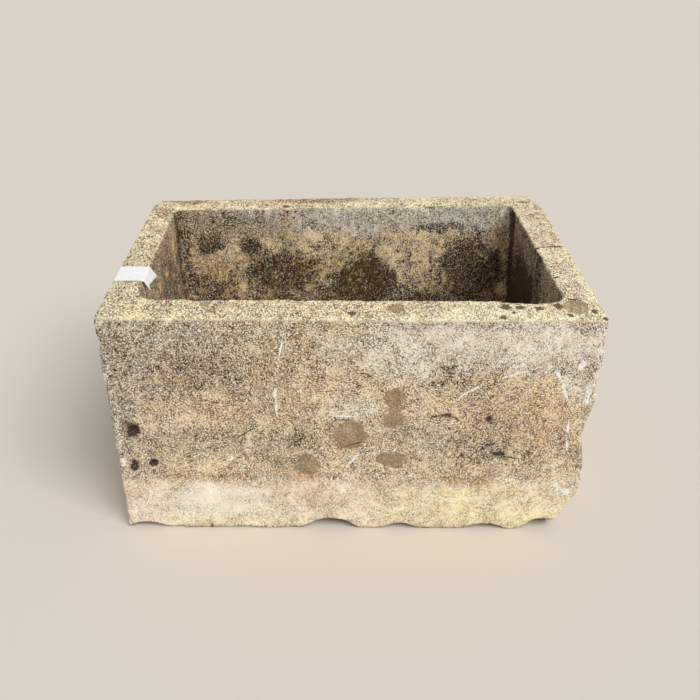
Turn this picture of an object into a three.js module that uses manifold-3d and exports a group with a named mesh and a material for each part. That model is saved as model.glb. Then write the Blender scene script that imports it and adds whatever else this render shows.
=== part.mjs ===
// Antique stone trough planter. A mason squares one block of limestone, hollows it by hand and drills
// a drain through its floor. The rim is dressed flat, the sides stay hewn and the foot is left rough,
// with scallops where the punch broke the lower edge. A strip of blank white tape lies over the left rim.
// Millimetres, +Z up, the long front facing -Y. The origin is the middle of the footprint on the ground.
import * as THREE from "three";
import { ImprovedNoise } from "three/addons/math/ImprovedNoise.js";
import { mergeVertices } from "three/addons/utils/BufferGeometryUtils.js";
import Module from "manifold-3d";

// The block. Its plan runs out of square, as a hand-cut one does: the right end is the deeper one.
const LENGTH = 810;
const LEFT_DEPTH = 530;
const RIGHT_DEPTH = 567;
const HEIGHT = 432;
const ARRIS_ROUNDING = 4;

// The walls at the rim, each measured square to its own side, and the floor.
const FRONT_WALL = 73;
const BACK_WALL = 60;
const LEFT_WALL_AT_FRONT = 56;
const LEFT_WALL_AT_BACK = 55;
const RIGHT_WALL_AT_FRONT = 59;
const RIGHT_WALL_AT_BACK = 69;
const FLOOR_THICKNESS = 100;

// The hollow leans in a little towards its floor, but its right wall was cut back under the rim. Its
// corners follow the mason's point, and the two at the front were left rounder.
const HOLLOW_LEAN = 5;
const RIGHT_UNDERCUT = 15;
const HOLLOW_CORNER = 26;
const HOLLOW_FILLET = 18;
const hollowCornerShares = [1.3, 0.8, 0.5, 0.5];

// The drain is drilled from above in the middle of the floor, and runs a little narrower downwards.
const DRAIN_TOP_DIAMETER = 36;
const DRAIN_FOOT_DIAMETER = 30;
const DRAIN_SIDES = 20;
const drainPlaceShares = new THREE.Vector2(0.5, 0.5);

// How deep the tools left the faces uneven, and over what distance: fine on the dressed sides and in
// the hollow, coarse on the foot, which was never meant to be seen. The left end's foot was left full.
const SIDE_RELIEF = 4;
const FOOT_RELIEF = 8;
const LEFT_FOOT_RELIEF = 1;
const HOLLOW_RELIEF = 5;
const FOOT_BAND = 120;
const RELIEF_PITCH = 95;
const FINE_OCTAVE_SHARE = 0.45;
const SIDE_FACET = 27;
const HOLLOW_FACET = 38;
const HOLLOW_COURSE = 76;
const CORNER_STEPS = 3;
const FILLET_STEPS = 3;

// Broken edges. A spall is a shallow bite out of an edge, known by its width along the edge and its depth.
// Its cutter stands off the edge by a share of its own reach, which thins the bite's ends. A split is a
// long flat break of an upright corner, known by its length up the corner and its run along X and Y.
const SCALLOP_WIDTH = 100;
const SCALLOP_DEPTH = 22;
const CHIP_WIDTH = 80;
const CHIP_DEPTH = 10;
const CORNER_BREAK = 85;
const SPLIT_LENGTH = 100;
const SPLIT_ALONG_X = 15;
const SPLIT_ALONG_Y = 60;
const SPALL_DETAIL = 2;
const SPALL_STANDOFF_SHARE = 0.45;

// Natural voids in the front face: the widest one's width, height and depth.
const VOID_WIDTH = 34;
const VOID_HEIGHT = 24;
const VOID_DEPTH = 16;
const VOID_DETAIL = 2;

// The label: a strip of white cloth tape across the left rim. Its inner end hangs over the edge of the
// hollow without sticking to the wall, and is torn to two points.
const LABEL_WIDTH = 57;
const LABEL_THICKNESS = 0.4;
const LABEL_FLAP = 19;
const LABEL_NOTCH = 7;
const LABEL_BEND = THREE.MathUtils.degToRad(60);
const LABEL_SEAT = 0.3;
const LABEL_EDGE_MARGIN = 0.5;
const LABEL_BEND_STEPS = 6;
const LABEL_PLACE_SHARE = 0.313;
const labelNotchShares = [0, 0.17, 1];

// How far a cutter runs past the face that it opens, and how close two points are one.
const OVERRUN = 20;
const WELD = 0.001;

const wasm = await Module();
wasm.setup();
const noise = new ImprovedNoise();

// A closed three.js geometry as a solid that can be cut.
function solidFrom(geometry) {
  const loose = geometry.index ? geometry.toNonIndexed() : geometry;
  const bare = new THREE.BufferGeometry();
  bare.setAttribute("position", loose.getAttribute("position"));
  const merged = mergeVertices(bare, WELD);
  const vertProperties = merged.attributes.position.array;
  const triVerts = new Uint32Array(merged.index.array);
  return new wasm.Manifold(new wasm.Mesh({ numProp: 3, vertProperties, triVerts }));
}

// A solid as a three.js geometry with flat facets.
function geometryFrom(solid) {
  const mesh = solid.getMesh();
  const geometry = new THREE.BufferGeometry();
  geometry.setAttribute("position", new THREE.BufferAttribute(mesh.vertProperties, mesh.numProp));
  geometry.setIndex(new THREE.BufferAttribute(mesh.triVerts, 1));
  const facets = geometry.toNonIndexed();
  facets.computeVertexNormals();
  return facets;
}

// From 0, untouched, to 1, the deepest that the tools went at this point of the stone.
function toolShare(point) {
  const p = point.clone().divideScalar(RELIEF_PITCH);
  const coarse = noise.noise(p.x, p.y, p.z);
  const fine = noise.noise(2 * p.x, 2 * p.y, 2 * p.z);
  const mixed = (coarse + FINE_OCTAVE_SHARE * fine) / (1 + FINE_OCTAVE_SHARE);
  return THREE.MathUtils.clamp((1 + mixed) / 2, 0, 1);
}

// The depth of the block from front to back at a place along its length.
function depthAt(x) {
  return THREE.MathUtils.mapLinear(x, -LENGTH / 2, LENGTH / 2, LEFT_DEPTH, RIGHT_DEPTH);
}

// The block's four corners in plan: front left, front right, back right, back left.
function blockCorners() {
  return [
    new THREE.Vector2(-LENGTH / 2, -LEFT_DEPTH / 2),
    new THREE.Vector2(LENGTH / 2, -RIGHT_DEPTH / 2),
    new THREE.Vector2(LENGTH / 2, RIGHT_DEPTH / 2),
    new THREE.Vector2(-LENGTH / 2, LEFT_DEPTH / 2),
  ];
}

// The hollow's four corners at a height, in the same order, each moved in from its walls by an inset.
function hollowCorners(height, inset) {
  const down = (HEIGHT - height) / (HEIGHT - FLOOR_THICKNESS);
  const leanIn = inset + HOLLOW_LEAN * down;
  const left = (wall) => -LENGTH / 2 + wall + leanIn;
  const right = (wall) => LENGTH / 2 - wall - inset + RIGHT_UNDERCUT * down;
  const front = (x) => new THREE.Vector2(x, FRONT_WALL + leanIn - depthAt(x) / 2);
  const back = (x) => new THREE.Vector2(x, depthAt(x) / 2 - BACK_WALL - leanIn);
  return [
    front(left(LEFT_WALL_AT_FRONT)),
    front(right(RIGHT_WALL_AT_FRONT)),
    back(right(RIGHT_WALL_AT_BACK)),
    back(left(LEFT_WALL_AT_BACK)),
  ];
}

// A plan of four sides with rounded corners, as points a facet apart, each with the way inwards from it.
// All points of one corner go inwards along both of its sides, so that deep relief can't cross them over.
// A side keeps its number of facets whatever the rounding, so all plans of one skin have as many points.
function outline(corners, roundings, facet) {
  const inwardOf = (from, to) => new THREE.Vector2(from.y - to.y, to.x - from.x).normalize();
  return corners.flatMap((corner, i) => {
    const before = corners[(i + 3) % 4];
    const after = corners[(i + 1) % 4];
    const start = before.clone().sub(corner).setLength(roundings[i]).add(corner);
    const finish = after.clone().sub(corner).setLength(roundings[i]).add(corner);
    const end = corner.clone().sub(after).setLength(roundings[(i + 1) % 4]).add(after);
    const inward = inwardOf(corner, after);
    const bothInward = inwardOf(before, corner).add(inward);
    const steps = Math.max(2, Math.round((i % 2 ? LEFT_DEPTH : LENGTH) / facet));
    const bend = new THREE.QuadraticBezierCurve(start, corner, finish).getPoints(CORNER_STEPS);
    const side = new THREE.LineCurve(finish, end).getPoints(steps).slice(1, -1);
    return [
      ...bend.map((at) => ({ at, inward: bothInward })),
      ...side.map((at) => ({ at, inward })),
    ];
  });
}

// A plan raised to a height, with each point moved by the tools' relief into the stone: inwards on the
// block (+1), outwards on the hollow (-1). The relief depends on the way that a point's side faces.
function hewnRing(plan, height, reliefFor, intoStone) {
  return plan.map(({ at, inward }) => {
    const point = new THREE.Vector3(at.x, at.y, height);
    const cut = intoStone * reliefFor(inward) * toolShare(point);
    return point.add(new THREE.Vector3(inward.x * cut, inward.y * cut, 0));
  });
}

// A closed skin through rings of equally many points, from the lowest up, flat at both ends.
function loft(rings) {
  const count = rings[0].length;
  const last = (rings.length - 1) * count;
  const faces = [];
  for (let r = 0; r < last; r += count) {
    for (let i = 0; i < count; i += 1) {
      const a = r + i;
      const b = r + ((i + 1) % count);
      faces.push(a, b, b + count, a, b + count, a + count);
    }
  }
  const flat = (ring) => ring.map((p) => new THREE.Vector2(p.x, p.y));
  for (const [a, b, c] of THREE.ShapeUtils.triangulateShape(flat(rings[0]), [])) faces.push(a, c, b);
  for (const [a, b, c] of THREE.ShapeUtils.triangulateShape(flat(rings.at(-1)), []))
    faces.push(last + a, last + b, last + c);
  return new THREE.BufferGeometry().setFromPoints(rings.flat()).setIndex(faces);
}

// The block's plan at a height: rougher in the foot band than above it, but not on the left side.
function blockRing(height) {
  const plan = outline(blockCorners(), Array(4).fill(ARRIS_ROUNDING), SIDE_FACET);
  const dressed = THREE.MathUtils.smoothstep(height, 0, FOOT_BAND);
  const relief = THREE.MathUtils.lerp(FOOT_RELIEF, SIDE_RELIEF, dressed);
  const leftRelief = THREE.MathUtils.lerp(LEFT_FOOT_RELIEF, SIDE_RELIEF, dressed);
  return hewnRing(plan, height, (inward) => (inward.x > 0 ? leftRelief : relief), 1);
}

// The squared block: its plans stacked a facet apart.
function squaredBlock() {
  const courses = Math.max(4, Math.round(HEIGHT / SIDE_FACET));
  const rings = Array.from({ length: courses + 1 }, (_, course) => blockRing((HEIGHT * course) / courses));
  return solidFrom(loft(rings));
}

// The hollow's plan at a height.
function hollowRing(height, inset) {
  const roundings = hollowCornerShares.map((share) => HOLLOW_CORNER * share);
  const plan = outline(hollowCorners(height, inset), roundings, HOLLOW_FACET);
  return hewnRing(plan, height, () => HOLLOW_RELIEF, -1);
}

// The hollow as a cutter: a filleted floor, its four walls, open above the rim.
function hollow() {
  const wallFoot = FLOOR_THICKNESS + HOLLOW_FILLET;
  const courses = Math.max(2, Math.round((HEIGHT - wallFoot) / HOLLOW_COURSE));
  const rings = [];
  for (let step = 0; step < FILLET_STEPS; step += 1) {
    const angle = ((Math.PI / 2) * step) / FILLET_STEPS;
    const rise = HOLLOW_FILLET * (1 - Math.cos(angle));
    rings.push(hollowRing(FLOOR_THICKNESS + rise, HOLLOW_FILLET * (1 - Math.sin(angle))));
  }
  for (let course = 0; course <= courses; course += 1)
    rings.push(hollowRing(THREE.MathUtils.lerp(wallFoot, HEIGHT, course / courses), 0));
  rings.push(rings.at(-1).map((p) => p.clone().setZ(HEIGHT + OVERRUN)));
  return solidFrom(loft(rings));
}

// The drain as a cutter: its taper runs from face to face of the floor, and a straight end past each.
function drain() {
  const [frontLeft, frontRight, backRight, backLeft] = hollowCorners(FLOOR_THICKNESS, 0);
  const profile = [
    new THREE.Vector2(0, -OVERRUN),
    new THREE.Vector2(DRAIN_FOOT_DIAMETER / 2, -OVERRUN),
    new THREE.Vector2(DRAIN_FOOT_DIAMETER / 2, 0),
    new THREE.Vector2(DRAIN_TOP_DIAMETER / 2, FLOOR_THICKNESS),
    new THREE.Vector2(DRAIN_TOP_DIAMETER / 2, FLOOR_THICKNESS + OVERRUN),
    new THREE.Vector2(0, FLOOR_THICKNESS + OVERRUN),
  ];
  const front = frontLeft.lerp(frontRight, drainPlaceShares.x);
  const place = front.lerp(backLeft.lerp(backRight, drainPlaceShares.x), drainPlaceShares.y);
  const hole = new THREE.LatheGeometry(profile, DRAIN_SIDES);
  return solidFrom(hole.rotateX(Math.PI / 2).translate(place.x, place.y, 0));
}

// One spall as a cutter: an egg lying along an edge and standing off it the way that the edge faces,
// so that it bites out the given width of the edge to the given depth, with thin ends.
function spall(at, along, facing, width, depth) {
  const reach = depth / (1 - SPALL_STANDOFF_SHARE);
  const halfLength = width / 2 / Math.sqrt(1 - SPALL_STANDOFF_SHARE ** 2);
  const centre = at.clone().addScaledVector(facing, reach * SPALL_STANDOFF_SHARE);
  const egg = new THREE.IcosahedronGeometry(1, SPALL_DETAIL).scale(halfLength, reach, reach);
  egg.applyQuaternion(new THREE.Quaternion().setFromUnitVectors(new THREE.Vector3(1, 0, 0), along));
  return solidFrom(egg.translate(centre.x, centre.y, centre.z));
}

// The spalls of one edge. Each row holds shares: its place along the edge, its width and its depth.
function spallsAlong(start, end, facing, rowsOfShares, width, depth) {
  const along = end.clone().sub(start).normalize();
  return rowsOfShares.map(([place, widthShare, depthShare]) =>
    spall(start.clone().lerp(end, place), along, facing, width * widthShare, depth * depthShare),
  );
}

// Shares for the scallops of the foot, each side read from its left end as one faces it.
const footScallopShares = {
  front: [[0.045, 0.7, 0.55], [0.455, 1, 1], [0.61, 0.6, 0.6], [0.8, 0.7, 0.6], [0.925, 0.75, 1.1]],
  right: [[0.2, 0.8, 0.8], [0.47, 1.1, 0.9], [0.74, 0.6, 0.6], [0.95, 0.8, 0.9]],
  back: [[0.08, 0.8, 0.9], [0.24, 0.6, 0.6], [0.42, 1.1, 1], [0.63, 0.7, 0.7], [0.88, 0.9, 0.8]],
  left: [[0.12, 0.9, 0.8], [0.38, 0.7, 0.6], [0.62, 1, 1], [0.86, 0.6, 0.7]],
};

// Shares for the chips of the rim's outer edge, and for those of its inner edge.
const rimChipShares = {
  front: [[0.012, 0.5, 0.6], [0.33, 0.5, 0.3], [0.51, 0.9, 0.45], [0.89, 1.1, 0.75]],
  right: [[0.1, 0.5, 0.4], [0.53, 0.6, 0.5]],
  back: [[0.2, 0.5, 0.4], [0.34, 0.7, 0.5], [0.71, 0.8, 0.5]],
  left: [[0.37, 0.6, 0.4], [0.8, 0.4, 0.35]],
};
const innerChipShares = {
  front: [[0.22, 0.8, 0.3], [0.915, 1.4, 1.05]],
  right: [[0.35, 0.6, 0.4], [0.68, 0.7, 0.45]],
  back: [[0.48, 1.2, 0.75], [0.13, 0.6, 0.35]],
  left: [[0.12, 0.5, 0.3]],
};

// Shares for the chips of the four upright corners, read from the ground up.
const uprightChipShares = [
  [[0.14, 0.5, 0.4], [0.46, 0.6, 0.35], [0.83, 0.5, 0.5]],
  [[0, 1.3, 2.6], [0.17, 0.9, 0.8], [0.4, 1.2, 0.8], [0.62, 0.5, 0.5], [0.99, 0.3, 0.4]],
  [[0.04, 1.2, 2.2], [0.33, 0.8, 0.9], [0.61, 1, 0.8]],
  [[0.05, 1.1, 1.5], [0.28, 0.9, 0.8], [0.66, 0.7, 0.9]],
];

// Splits of the upright corners. Each row holds the corner's number, counted from the front left as the
// block's are, then shares: how far up its middle lies, its length, and how far it runs along X and Y.
const splitShares = [
  [0, 0.889, 0.5, 0.7, 0.6],
  [1, 0, 2, 3.4, 2.4], [1, 0.486, 1.7, 1.2, 1.2], [1, 0.7, 0.25, 0.7, 0.5], [1, 0.77, 0.4, 0.8, 0.6],
  [1, 0.92, 0.25, 0.55, 0.5],
  [2, 0.55, 1.2, 0.9, 0.9],
  [3, 0.4, 0.9, 0.8, 0.8],
];

// The splits as cutters: wedges whose two flat faces meet halfway up and run out at the corner's edge.
function splitCorners() {
  return splitShares.map(([number, place, length, alongX, alongY]) => {
    const { x, y } = blockCorners()[number];
    const half = (SPLIT_LENGTH * length) / 2;
    const middle = new THREE.Vector3(x, y, HEIGHT * place);
    const outward = new THREE.Vector3(Math.sign(x), Math.sign(y), 0);
    const edge = [
      middle.clone().add(new THREE.Vector3(0, 0, half)),
      middle.clone().add(new THREE.Vector3(0, 0, -half)),
      middle.clone().add(new THREE.Vector3(-outward.x * SPLIT_ALONG_X * alongX, 0, 0)),
      middle.clone().add(new THREE.Vector3(0, -outward.y * SPLIT_ALONG_Y * alongY, 0)),
    ];
    const beyond = edge.map((point) => point.clone().addScaledVector(outward, OVERRUN));
    return wasm.Manifold.hull([...edge, ...beyond].map((point) => point.toArray()));
  });
}

// Corners of the rim that were knocked off flat. Each row holds the corner's number, counted from the
// front left as the block's are, then shares: how far the break runs along X, along Y and down.
const cornerBreakShares = [
  [2, 0.27, 1, 1.1],
  [3, 0.2, 0.48, 0.7],
];

// The breaks as cutters: boxes whose one face passes through the three ends of the break.
function brokenCorners() {
  return cornerBreakShares.map(([number, alongX, alongY, down]) => {
    const { x, y } = blockCorners()[number];
    const corner = new THREE.Vector3(x, y, HEIGHT);
    const steepness = new THREE.Vector3(Math.sign(x) / alongX, Math.sign(y) / alongY, 1 / down);
    const lost = CORNER_BREAK / steepness.length();
    const facing = steepness.normalize();
    const size = 2 * CORNER_BREAK * Math.max(alongX, alongY, down);
    const box = new THREE.BoxGeometry(size, size, size);
    box.applyQuaternion(new THREE.Quaternion().setFromUnitVectors(new THREE.Vector3(0, 0, 1), facing));
    const centre = corner.addScaledVector(facing, size / 2 - lost);
    return solidFrom(box.translate(centre.x, centre.y, centre.z));
  });
}

// Every spall that the block has lost along its foot, its rim and its upright corners.
function brokenEdges() {
  const sides = ["front", "right", "back", "left"];
  const outer = blockCorners();
  const inner = hollowCorners(HEIGHT, 0);
  const at = (corner, height) => new THREE.Vector3(corner.x, corner.y, height);
  return sides.flatMap((side, i) => {
    const next = (i + 1) % sides.length;
    const along = outer[next].clone().sub(outer[i]).normalize();
    const out = new THREE.Vector3(along.y, -along.x, 0);
    const downAndOut = out.clone().setZ(-1).normalize();
    const upAndOut = out.clone().setZ(1).normalize();
    const upAndIn = out.clone().negate().setZ(1).normalize();
    const away = at(outer[i], 0).normalize();
    return [
      ...spallsAlong(at(outer[i], 0), at(outer[next], 0), downAndOut, footScallopShares[side],
        SCALLOP_WIDTH, SCALLOP_DEPTH),
      ...spallsAlong(at(outer[i], HEIGHT), at(outer[next], HEIGHT), upAndOut, rimChipShares[side],
        CHIP_WIDTH, CHIP_DEPTH),
      ...spallsAlong(at(inner[i], HEIGHT), at(inner[next], HEIGHT), upAndIn, innerChipShares[side],
        CHIP_WIDTH, CHIP_DEPTH),
      ...spallsAlong(at(outer[i], 0), at(outer[i], HEIGHT), away, uprightChipShares[i],
        CHIP_WIDTH, CHIP_DEPTH),
    ];
  });
}

// Voids in the front face. Each row holds shares: place along, place up, then width, height and depth.
const voidShares = [
  [0.038, 0.51, 1, 1, 1], [0.036, 0.34, 0.6, 0.6, 0.8], [0.078, 0.347, 0.62, 0.55, 0.7],
  [0.7, 0.568, 0.7, 0.42, 0.7], [0.787, 0.548, 0.4, 0.7, 0.6], [0.816, 0.374, 0.8, 0.5, 0.7],
  [0.738, 0.375, 0.4, 0.3, 0.5],
];

// The voids as cutters: flattened balls whose middle lies on the face's own line.
function frontVoids() {
  return voidShares.map(([along, up, width, height, depth]) => {
    const x = THREE.MathUtils.lerp(-LENGTH / 2, LENGTH / 2, along);
    const pocket = new THREE.IcosahedronGeometry(1, VOID_DETAIL);
    pocket.scale((VOID_WIDTH * width) / 2, VOID_DEPTH * depth, (VOID_HEIGHT * height) / 2);
    pocket.translate(x, -depthAt(x) / 2, HEIGHT * up);
    return solidFrom(pocket);
  });
}

// The finished block of stone.
function troughBlock() {
  const broken = [...brokenEdges(), ...brokenCorners(), ...splitCorners()];
  const cutters = [hollow(), drain(), ...broken, ...frontVoids()];
  const stone = cutters.reduce((left, cutter) => left.subtract(cutter), squaredBlock());
  const material = new THREE.MeshStandardMaterial({ color: 0xb9a888, roughness: 0.95, metalness: 0 });
  const mesh = new THREE.Mesh(geometryFrom(stone), material);
  mesh.name = "trough_block";
  return mesh;
}

// The label's side view, from its outer end over the rim and down past the edge of the hollow: a band
// of one thickness that keeps its seat's distance from the stone as it turns round that edge.
function labelProfile(outerX, innerX) {
  const past = Math.PI / 2 - LABEL_BEND;
  const flapEnd = (radius) => [
    innerX + radius * Math.cos(past) + LABEL_FLAP * Math.sin(past),
    HEIGHT + radius * Math.sin(past) - LABEL_FLAP * Math.cos(past),
  ];
  const over = LABEL_SEAT + LABEL_THICKNESS;
  const profile = new THREE.Shape();
  profile.moveTo(outerX, HEIGHT + LABEL_SEAT);
  profile.absarc(innerX, HEIGHT, LABEL_SEAT, Math.PI / 2, past, true);
  profile.lineTo(...flapEnd(LABEL_SEAT));
  profile.lineTo(...flapEnd(over));
  profile.absarc(innerX, HEIGHT, over, past, Math.PI / 2, false);
  profile.lineTo(outerX, HEIGHT + over);
  return profile;
}

// The tear in the label's end as a cutter, drawn along and across the flap and then bent down with it.
function labelTear(innerX, frontY) {
  const [frontTip, deepest, backTip] = labelNotchShares.map((share) => frontY + LABEL_WIDTH * share);
  const tear = new THREE.Shape();
  tear.moveTo(LABEL_FLAP, frontTip);
  tear.lineTo(LABEL_FLAP + OVERRUN, frontTip);
  tear.lineTo(LABEL_FLAP + OVERRUN, backTip);
  tear.lineTo(LABEL_FLAP, backTip);
  tear.lineTo(LABEL_FLAP - LABEL_NOTCH, deepest);
  const prism = new THREE.ExtrudeGeometry(tear, { depth: 2 * OVERRUN, bevelEnabled: false });
  return solidFrom(prism.translate(0, 0, -OVERRUN).rotateY(LABEL_BEND).translate(innerX, 0, HEIGHT));
}

// The greatest X that one of the rim's edges reaches beside the label, on the left wall.
function edgeBesideLabel(ring, middleY) {
  const reach = LABEL_WIDTH / 2 + HOLLOW_FACET;
  const beside = ring.filter((p) => p.x < 0 && Math.abs(p.y - middleY) < reach);
  return Math.max(...beside.map((p) => p.x));
}

// The tape label, laid square across the left rim from its outer edge to just past its inner one.
function tapeLabel() {
  const middleY = THREE.MathUtils.lerp(-LEFT_DEPTH / 2, LEFT_DEPTH / 2, LABEL_PLACE_SHARE);
  const innerX = edgeBesideLabel(hollowRing(HEIGHT, 0), middleY);
  const outerX = edgeBesideLabel(blockRing(HEIGHT), middleY) + LABEL_EDGE_MARGIN;
  const band = new THREE.ExtrudeGeometry(labelProfile(outerX, innerX), {
    depth: LABEL_WIDTH,
    bevelEnabled: false,
    curveSegments: LABEL_BEND_STEPS,
  });
  const frontY = middleY - LABEL_WIDTH / 2;
  const strip = solidFrom(band.rotateX(Math.PI / 2).translate(0, frontY + LABEL_WIDTH, 0));
  const material = new THREE.MeshStandardMaterial({ color: 0xf4f3ee, roughness: 0.6, metalness: 0 });
  const mesh = new THREE.Mesh(geometryFrom(strip.subtract(labelTear(innerX, frontY))), material);
  mesh.name = "tape_label";
  return mesh;
}

// The tools took a little off every side, so the pieces are moved to stand on the footprint's middle.
const trough = new THREE.Group();
trough.add(troughBlock(), tapeLabel());
const extent = new THREE.Box3().setFromObject(trough, true);
const middle = extent.getCenter(new THREE.Vector3());
trough.position.set(-middle.x, -middle.y, -extent.min.z);

export default trough;
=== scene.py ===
"""Looks of an antique stone trough planter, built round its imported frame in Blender 4.5.

A mason hewed it from one block of shelly limestone: four thick walls round a deep hollow, a rim
dressed level, sides worn by weather and a foot left rough where it stood in the ground. A strip of
blank white tape lies over the left rim. Metres, +Z up, the long front facing -Y.
"""
import math

import bmesh
import bpy
import numpy as np
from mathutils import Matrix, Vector, noise
from mathutils.bvhtree import BVHTree


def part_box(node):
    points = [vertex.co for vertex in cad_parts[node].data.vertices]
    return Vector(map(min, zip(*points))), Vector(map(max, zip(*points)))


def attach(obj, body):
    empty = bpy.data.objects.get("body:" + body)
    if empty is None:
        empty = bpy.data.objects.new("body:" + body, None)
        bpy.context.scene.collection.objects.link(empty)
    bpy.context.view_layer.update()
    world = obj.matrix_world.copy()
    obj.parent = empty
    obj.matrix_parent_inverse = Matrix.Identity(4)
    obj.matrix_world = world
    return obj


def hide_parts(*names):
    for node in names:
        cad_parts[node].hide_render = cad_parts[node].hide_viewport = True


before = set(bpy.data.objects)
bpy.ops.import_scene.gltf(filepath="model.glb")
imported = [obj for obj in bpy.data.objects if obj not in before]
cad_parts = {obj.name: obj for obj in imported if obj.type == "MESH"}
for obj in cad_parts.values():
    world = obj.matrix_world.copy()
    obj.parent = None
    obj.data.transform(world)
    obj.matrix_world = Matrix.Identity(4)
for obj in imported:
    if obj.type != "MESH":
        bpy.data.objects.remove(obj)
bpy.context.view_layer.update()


# The stone block: its skin
# One block of limestone, squared with the punch and hollowed by hand. Its skin is uneven at every
# size: swells left by the tools, a sugary grain, pits where shells fell out, and crumbling arrises.
low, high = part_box("trough_block")
SKIN_STEP = 0.003
KEPT_FACES = 196000
# The hollow is told from the outside by a plain box of these sizes.
HOLLOW_MIDDLE = Vector((-0.002, 0.0025))
HOLLOW_REACH = Vector((0.370, 0.2335))
HOLLOW_FLOOR = 0.09
WELD = 1e-6
RELIEF_SEED = 7.0
# How the relief calms down: towards the dressed rim, inside the hollow and near the ground.
RIM_EDGE = (0.004, 0.001)
RIM_CALM = 0.35
HOLLOW_CALM = 0.6
GROUND_EDGE = (0.003, 0.012)
# An arris chips where it stands this far proud, found by evening out the skin so many times.
CHIPPED_ARRIS = (0.0008, 0.0022)
ARRIS_STEPS = 10
PROUD_STEPS = 3
RELIEF_SIZES = {
    "Swell Width": 0.055, "Swell Depth": 0.0020,
    "Grain Width": 0.012, "Grain Depth": 0.0015,
    "Pit Width": 0.0105, "Pit Depth": 0.0017,
    "Pocket Width": 0.034, "Pocket Depth": 0.0035,
    "Streak Width": 0.014, "Streak Length": 0.085, "Streak Depth": 0.0012,
    "Crumble Width": 0.016, "Crumble Share": 0.6,
    "Chip Width": 0.024, "Chip Depth": 0.0042,
    "Fullness": 0.0016, "Stain Width": 0.045,
}
# Each noise of the skin: its detail, its roughness, and how far its seed is moved on.
SKIN_NOISES = {
    "swell": (1.0, 0.5, 0.0), "grain": (3.0, 0.62, 0.0), "shells": (2.0, 0.5, 3.0),
    "streak": (1.0, 0.5, 0.0), "crumbs": (2.0, 0.6, 9.0), "chips": (2.0, 0.6, 11.0),
    "stain": (4.0, 0.62, 0.0),
}
# Where a noise begins to show, and where it shows in full.
SKIN_EDGES = {"shells": (0.45, 0.62), "streak": (0.4, 0.65), "crumbs": (0.4, 0.75), "chips": (0.48, 0.66)}
# The share of places that has a pit or a pocket, its edge and middle, and how far its seed moves on.
PITS = (0.4, 0.42, 0.12, 0.0)
POCKETS = (0.12, 0.42, 0.12, 5.0)


def socket(sockets, key):
    """The socket of that name or number, among those that the node's settings leave in use."""
    if isinstance(key, int):
        return sockets[key]
    return next(s for s in sockets if s.name == key and s.enabled)


def node(tree, kind, inputs=None, output=0, **settings):
    """Adds a node with its settings, feeds its inputs, and gives one of its outputs."""
    made = tree.nodes.new(kind)
    for name, value in settings.items():
        setattr(made, name, value)
    for key, value in (inputs or {}).items():
        target = socket(made.inputs, key)
        if isinstance(value, bpy.types.NodeSocket):
            tree.links.new(value, target)
        else:
            target.default_value = value
    return socket(made.outputs, output)


def calc(tree, operation, a, b=0.0):
    """One sum on two numbers."""
    return node(tree, "ShaderNodeMath", {0: a, 1: b}, operation=operation)


def chain(tree, operation, values):
    """The same sum over several numbers."""
    result = values[0]
    for value in values[1:]:
        result = calc(tree, operation, result, value)
    return result


def total(tree, *values):
    """The sum of several numbers."""
    return chain(tree, "ADD", values)


def product(tree, *values):
    """The product of several numbers."""
    return chain(tree, "MULTIPLY", values)


def ramp(tree, value, start, end, low_end=0.0, high_end=1.0):
    """Runs smoothly from one value to another as the input passes from start to end."""
    inputs = {"Value": value, "From Min": start, "From Max": end, "To Min": low_end, "To Max": high_end}
    return node(tree, "ShaderNodeMapRange", inputs, "Result", interpolation_type="SMOOTHSTEP")


def per(tree, size):
    """How many times a size goes into a metre."""
    return calc(tree, "DIVIDE", 1.0, size) if isinstance(size, bpy.types.NodeSocket) else 1.0 / size


def cloud(tree, place, size, detail=2.0, roughness=0.5, seed=0.0):
    """Soft noise whose lumps are about the given size across, from 0 to 1."""
    inputs = {"Vector": place, "W": seed, "Scale": per(tree, size), "Detail": detail, "Roughness": roughness}
    return node(tree, "ShaderNodeTexNoise", inputs, 0, noise_dimensions="4D")


def stretch(tree, place, across, up):
    """The place scaled by two shares, so that what is drawn there runs long one way."""
    factor = node(tree, "ShaderNodeCombineXYZ", {"X": across, "Y": across, "Z": up})
    return node(tree, "ShaderNodeVectorMath", {0: place, 1: factor}, operation="MULTIPLY")


def within(tree, value, middle, reach):
    """1 where a number lies within reach of a middle."""
    return calc(tree, "LESS_THAN", calc(tree, "ABSOLUTE", calc(tree, "SUBTRACT", value, middle)), reach)


def scatter(tree, place, size, share, start, end, seed):
    """Spots at a spacing, 1 in the middle of each, and only a share of the places has one."""
    inputs = {"Vector": place, "W": seed, "Scale": per(tree, size), "Randomness": 1.0}
    cells = node(tree, "ShaderNodeTexVoronoi", inputs, "Distance", voronoi_dimensions="4D")
    chosen = calc(tree, "LESS_THAN", socket(cells.node.outputs, "Color"), share)
    return calc(tree, "MULTIPLY", ramp(tree, cells, start, end), chosen)


def store(tree, geometry, name, value):
    """Keeps a number at each point of the skin under a name."""
    inputs = {"Geometry": geometry, "Name": name, "Value": value}
    return node(tree, "GeometryNodeStoreNamedAttribute", inputs, 0, data_type="FLOAT", domain="POINT")


def bulge(tree, steps):
    """How far each point stands out of its neighbours' middle: above 0 on an arris, below in a pit."""
    position = node(tree, "GeometryNodeInputPosition")
    inputs = {"Value": position, "Iterations": steps}
    middle = node(tree, "GeometryNodeBlurAttribute", inputs, "Value", data_type="FLOAT_VECTOR")
    away = node(tree, "ShaderNodeVectorMath", {0: position, 1: middle}, operation="SUBTRACT")
    inputs = {0: away, 1: node(tree, "GeometryNodeInputNormal")}
    return node(tree, "ShaderNodeVectorMath", inputs, "Value", operation="DOT_PRODUCT")


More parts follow.
